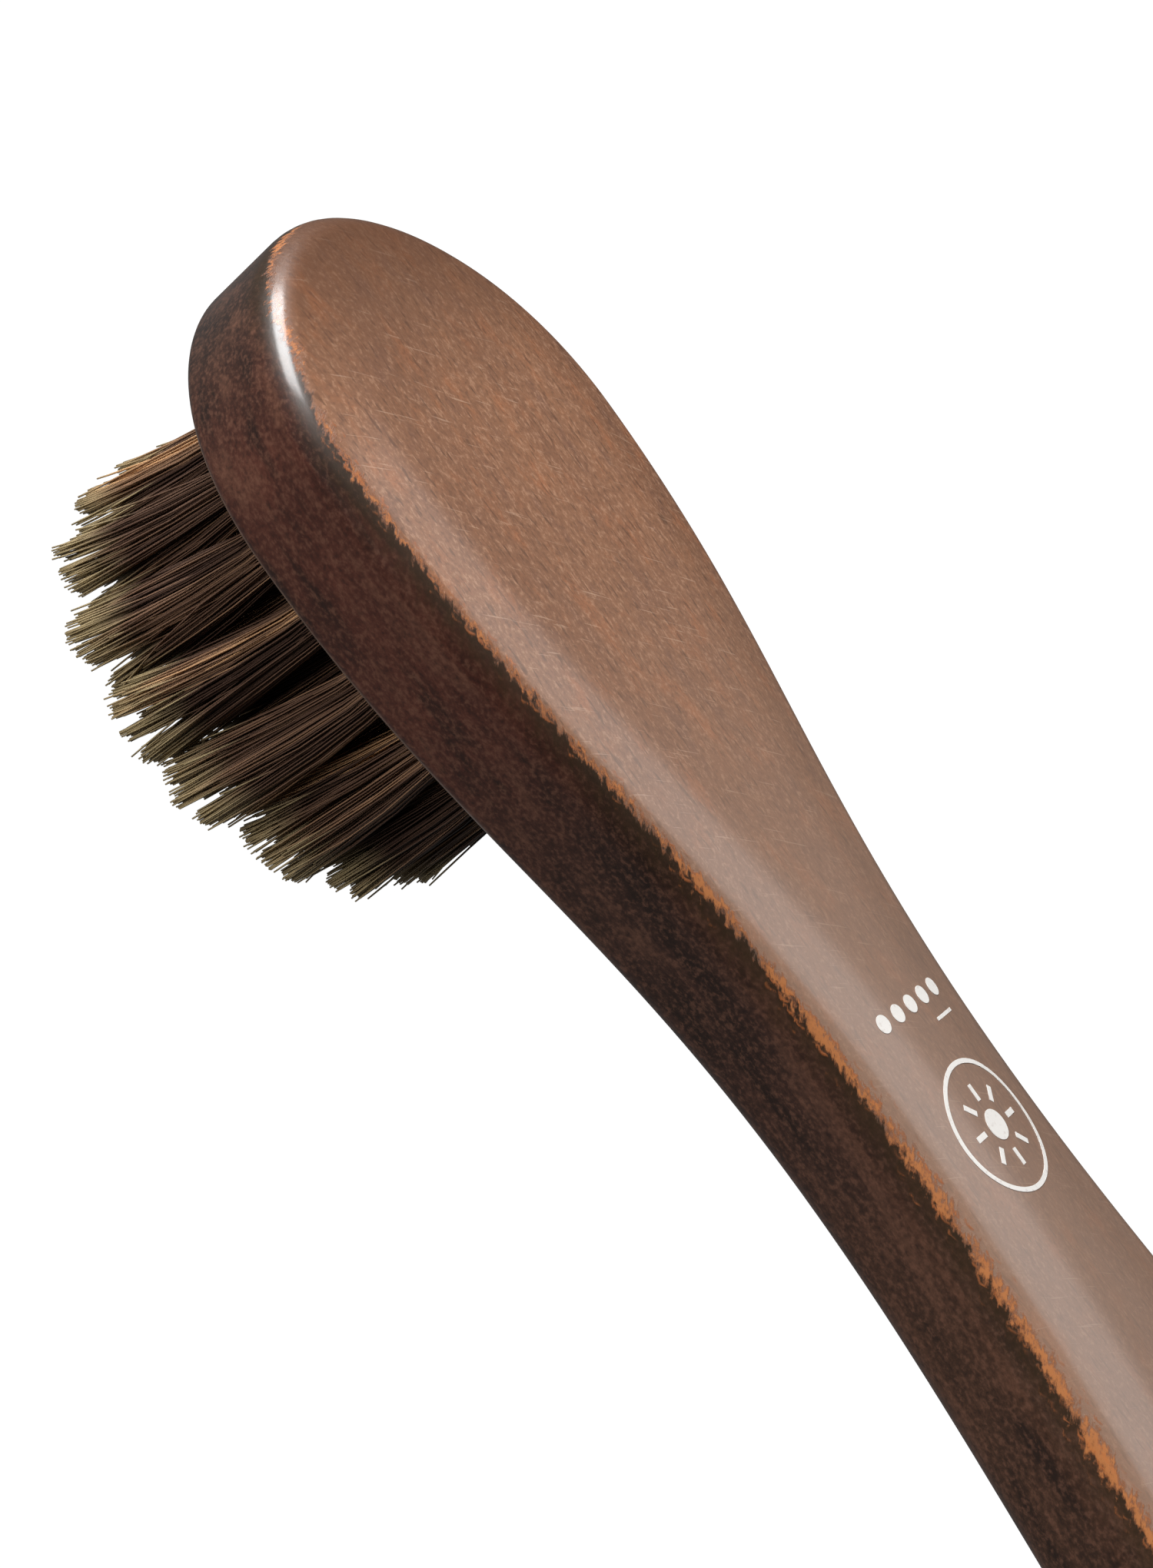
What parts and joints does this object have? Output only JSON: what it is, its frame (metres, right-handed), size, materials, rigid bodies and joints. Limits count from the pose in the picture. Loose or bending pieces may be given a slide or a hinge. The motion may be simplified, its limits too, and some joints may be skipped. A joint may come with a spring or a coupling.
{
  "type": "body dry brush",
  "caption": "Paddle-shaped hardwood brush for dry brushing the skin, with an oval field of trimmed horsehair tufts under its head and a waisted handle.",
  "frame": {"origin": "middle of the brush's length and width, on the plane of the trimmed bristle tips that it stands on", "axes": "+X from the nose of the head to the end of the handle, +Z from the bristle tips to the back face, +Y completes a right-handed frame"},
  "size_m": [0.182, 0.044, 0.032],
  "materials": {
    "body_wood": "walnut-stained beech, satin varnish, stain worn to orange-brown along the arris",
    "tuft_hair": "dark brown horsehair with paler olive trimmed tips",
    "anchor_wire": "plated flat wire"
  },
  "bodies": {
    "root": {"wooden_body": "body_wood", "tuft_core_01": "tuft_hair", "tuft_core_02": "tuft_hair", "tuft_middle_01": "tuft_hair", "tuft_middle_02": "tuft_hair", "tuft_middle_03": "tuft_hair", "tuft_middle_04": "tuft_hair", "tuft_middle_05": "tuft_hair", "tuft_middle_06": "tuft_hair", "tuft_middle_07": "tuft_hair", "tuft_middle_08": "tuft_hair", "tuft_middle_09": "tuft_hair", "tuft_middle_10": "tuft_hair", "tuft_outer_01": "tuft_hair", "tuft_outer_02": "tuft_hair", "tuft_outer_03": "tuft_hair", "tuft_outer_04": "tuft_hair", "tuft_outer_05": "tuft_hair", "tuft_outer_06": "tuft_hair", "tuft_outer_07": "tuft_hair", "tuft_outer_08": "tuft_hair", "tuft_outer_09": "tuft_hair", "tuft_outer_10": "tuft_hair", "tuft_outer_11": "tuft_hair", "tuft_outer_12": "tuft_hair", "tuft_outer_13": "tuft_hair", "tuft_outer_14": "tuft_hair", "tuft_outer_15": "tuft_hair", "tuft_outer_16": "tuft_hair", "anchor_core_01": "anchor_wire", "anchor_core_02": "anchor_wire", "anchor_middle_01": "anchor_wire", "anchor_middle_02": "anchor_wire", "anchor_middle_03": "anchor_wire", "anchor_middle_04": "anchor_wire", "anchor_middle_05": "anchor_wire", "anchor_middle_06": "anchor_wire", "anchor_middle_07": "anchor_wire", "anchor_middle_08": "anchor_wire", "anchor_middle_09": "anchor_wire", "anchor_middle_10": "anchor_wire", "anchor_outer_01": "anchor_wire", "anchor_outer_02": "anchor_wire", "anchor_outer_03": "anchor_wire", "anchor_outer_04": "anchor_wire", "anchor_outer_05": "anchor_wire", "anchor_outer_06": "anchor_wire", "anchor_outer_07": "anchor_wire", "anchor_outer_08": "anchor_wire", "anchor_outer_09": "anchor_wire", "anchor_outer_10": "anchor_wire", "anchor_outer_11": "anchor_wire", "anchor_outer_12": "anchor_wire", "anchor_outer_13": "anchor_wire", "anchor_outer_14": "anchor_wire", "anchor_outer_15": "anchor_wire", "anchor_outer_16": "anchor_wire"}
  },
  "joints": []
}
